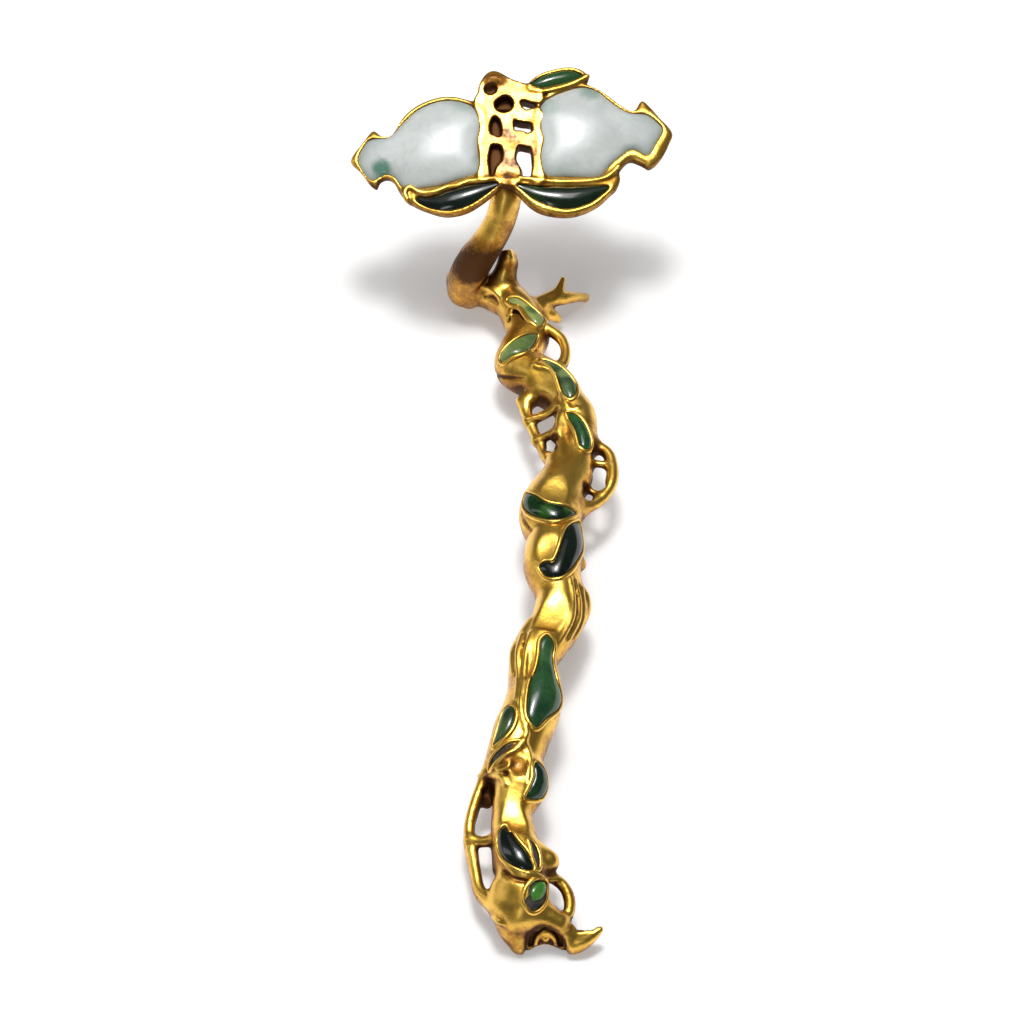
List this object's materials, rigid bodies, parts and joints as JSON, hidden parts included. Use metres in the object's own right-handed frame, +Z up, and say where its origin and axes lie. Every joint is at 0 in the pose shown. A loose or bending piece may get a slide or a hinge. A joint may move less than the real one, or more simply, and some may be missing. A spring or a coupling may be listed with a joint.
{
  "type": "sceptre",
  "caption": "Gilt bronze sceptre cast as a gnarled, pierced branch, with a tilted head of paired fruits and leaf-shaped jade insets along its stem.",
  "frame": {"origin": "on the surface that the sceptre lies on, under the middle of its bounding box", "axes": "+Y along the stem from the foot to the head, +Z up away from the surface, +X to the right with the head away from the viewer"},
  "size_m": [0.1252, 0.3581, 0.0818],
  "materials": {
    "gilt_bronze": "polished gilding, worn brown in the recesses",
    "jadeite": "polished, pale grey-white with green clouds",
    "dark_jade": "polished, black-green",
    "green_jade": "polished, mid green",
    "pale_jade": "polished, light yellow-green"
  },
  "bodies": {
    "root": {"casting": "gilt_bronze", "pomegranate_left": "jadeite", "pomegranate_right": "jadeite", "head_leaf_left": "dark_jade", "head_leaf_right": "dark_jade", "head_leaf_top": "green_jade", "stem_leaf_1": "pale_jade", "stem_leaf_2": "pale_jade", "stem_leaf_3": "green_jade", "stem_leaf_4": "green_jade", "stem_leaf_5": "dark_jade", "stem_leaf_6": "dark_jade", "stem_gourd": "green_jade", "stem_leaf_7": "green_jade", "stem_leaf_8": "green_jade", "stem_leaf_9": "dark_jade", "stem_leaf_10": "green_jade"}
  },
  "joints": []
}
